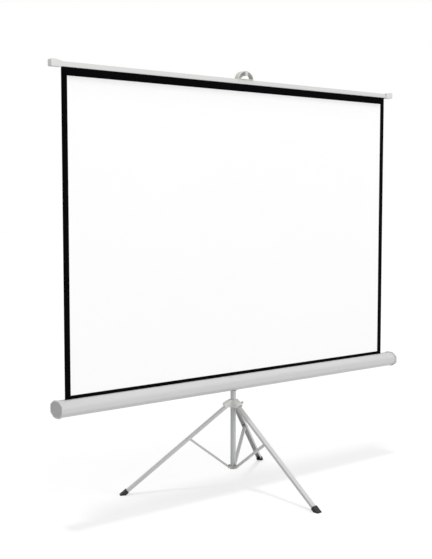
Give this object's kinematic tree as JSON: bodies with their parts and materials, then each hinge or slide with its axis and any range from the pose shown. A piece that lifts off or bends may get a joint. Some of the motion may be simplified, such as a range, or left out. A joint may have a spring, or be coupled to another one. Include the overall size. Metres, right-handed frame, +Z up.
{
  "type": "tripod projection screen",
  "caption": "Portable projection screen: spring-roller case on a mast with folding tripod legs, white fabric with black borders drawn up to a hooked top rail",
  "frame": {"origin": "on the floor under the middle of the outer box", "axes": "+Z up, the screen faces -Y, +X along the case to the right seen from the front"},
  "size_m": [1.995, 0.8328, 1.901],
  "materials": {
    "grey_paint": "satin light grey enamel",
    "tube_steel": "satin grey painted tube",
    "pin_steel": "zinc plated",
    "bracket_steel": "satin grey",
    "roller_steel": "plain steel",
    "grey_plastic": "moulded grey, fine texture",
    "pale_plastic": "moulded pale grey",
    "black_plastic": "moulded black",
    "foot_rubber": "matte black",
    "screen_fabric": "matte white coating with black borders"
  },
  "bodies": {
    "mast": {"mast_tube": "tube_steel", "mast_foot_bracket": "bracket_steel", "mast_collar": "grey_plastic"},
    "crown": {"leg_crown": "grey_plastic", "leg_pin_front": "pin_steel", "leg_pin_right": "pin_steel", "leg_pin_left": "pin_steel"},
    "leg_front": {"leg_front": "grey_paint", "foot_front": "foot_rubber", "brace_pin_front": "pin_steel"},
    "brace_front": {"brace_front": "grey_paint", "bracket_pin_front": "pin_steel"},
    "leg_right": {"leg_right": "grey_paint", "foot_right": "foot_rubber", "brace_pin_right": "pin_steel"},
    "brace_right": {"brace_right": "grey_paint", "bracket_pin_right": "pin_steel"},
    "leg_left": {"leg_left": "grey_paint", "foot_left": "foot_rubber", "brace_pin_left": "pin_steel"},
    "brace_left": {"brace_left": "grey_paint", "bracket_pin_left": "pin_steel"},
    "crown_knob": {"crown_knob": "pin_steel"},
    "carriage_bush": {"carriage_bush": "black_plastic"},
    "carriage": {"case_carriage": "grey_plastic", "case_pivot_bolt": "pin_steel", "case_saddle": "bracket_steel", "case_shell": "grey_paint", "case_cap_left": "grey_plastic", "case_cap_right": "grey_plastic", "screen_fabric": "screen_fabric"},
    "carriage_knob": {"carriage_knob": "black_plastic"},
    "extension": {"extension_tube": "tube_steel", "mast_hook": "bracket_steel"},
    "collar_knob": {"collar_knob": "black_plastic"},
    "rail": {"top_rail": "grey_paint", "fabric_batten": "pale_plastic", "rail_cap_left": "pale_plastic", "rail_cap_right": "pale_plastic", "carry_handle": "pale_plastic", "handle_screw_left": "pin_steel", "handle_screw_right": "pin_steel"},
    "roller": {"roller_tube": "roller_steel", "fabric_roll": "screen_fabric", "roller_gudgeon_left": "roller_steel", "roller_gudgeon_right": "roller_steel", "roller_spring": "roller_steel"}
  },
  "joints": [
    {"name": "crown_slide", "type": "slide", "parent": "mast", "child": "crown", "axis": [0, 0, 1], "range_m": [0, 0.1837]},
    {"name": "leg_hinge_front", "type": "hinge", "parent": "crown", "child": "leg_front", "pos_m": [-0.00602, 0.08891, 0.39194], "axis": [0.998, 0.0628, 0], "range_deg": [0, 49.65]},
    {"name": "brace_hinge_front", "type": "hinge", "parent": "leg_front", "child": "brace_front", "pos_m": [0.00569, -0.09724, 0.2441], "axis": [0.998, 0.0628, 0], "range_deg": [-99.08, 0]},
    {"name": "leg_hinge_right", "type": "hinge", "parent": "crown", "child": "leg_right", "pos_m": [0.01207, 0.12537, 0.39194], "axis": [-0.5534, 0.8329, 0], "range_deg": [0, 49.65]},
    {"name": "brace_hinge_right", "type": "hinge", "parent": "leg_right", "child": "brace_right", "pos_m": [0.16743, 0.22859, 0.2441], "axis": [-0.5534, 0.8329, 0], "range_deg": [-99.08, 0]},
    {"name": "leg_hinge_left", "type": "hinge", "parent": "crown", "child": "leg_left", "pos_m": [-0.02855, 0.12281, 0.39194], "axis": [-0.4446, -0.8957, 0], "range_deg": [0, 49.65]},
    {"name": "brace_hinge_left", "type": "hinge", "parent": "leg_left", "child": "brace_left", "pos_m": [-0.19562, 0.20575, 0.2441], "axis": [-0.4446, -0.8957, 0], "range_deg": [-99.08, 0]},
    {"name": "crown_knob_turn", "type": "hinge", "parent": "crown", "child": "crown_knob", "pos_m": [0.02833, 0.09458, 0.3976], "axis": [0.8957, -0.4446, 0], "continuous": true},
    {"name": "carriage_slide", "type": "slide", "parent": "crown", "child": "carriage_bush", "axis": [0, 0, 1], "range_m": [0, 0.25]},
    {"name": "screen_swivel", "type": "hinge", "parent": "carriage_bush", "child": "carriage", "pos_m": [-0.0075, 0.11236, 0.5125], "axis": [0, 0, 1], "continuous": true},
    {"name": "carriage_knob_turn", "type": "hinge", "parent": "carriage", "child": "carriage_knob", "pos_m": [-0.0075, 0.14236, 0.5125], "axis": [0, 1, 0], "continuous": true},
    {"name": "mast_extension", "type": "slide", "parent": "carriage", "child": "extension", "axis": [0, 0, 1], "range_m": [-0.5, 0]},
    {"name": "collar_knob_turn", "type": "hinge", "parent": "mast", "child": "collar_knob", "pos_m": [-0.0075, 0.14236, 1.1356], "axis": [0, 1, 0], "continuous": true},
    {"name": "rail_slide", "type": "slide", "parent": "carriage", "child": "rail", "axis": [0, 0, 1], "range_m": [-0.501, 0], "deforming": ["screen_fabric"]},
    {"name": "roller_spin", "type": "hinge", "parent": "carriage", "child": "roller", "pos_m": [-0.0075, 0.04086, 0.5125], "axis": [1, 0, 0], "range_deg": [-1232, 0]}
  ],
  "couplings": [
    {"joint": "leg_hinge_front", "follows": "crown_slide", "rad_per_m": 4.7125},
    {"joint": "brace_hinge_front", "follows": "crown_slide", "rad_per_m": -9.4086},
    {"joint": "leg_hinge_right", "follows": "crown_slide", "rad_per_m": 4.7125},
    {"joint": "brace_hinge_right", "follows": "crown_slide", "rad_per_m": -9.4086},
    {"joint": "leg_hinge_left", "follows": "crown_slide", "rad_per_m": 4.7125},
    {"joint": "brace_hinge_left", "follows": "crown_slide", "rad_per_m": -9.4086},
    {"joint": "rail_slide", "follows": "mast_extension", "ratio": 1},
    {"joint": "roller_spin", "follows": "mast_extension", "rad_per_m": 42.918}
  ]
}
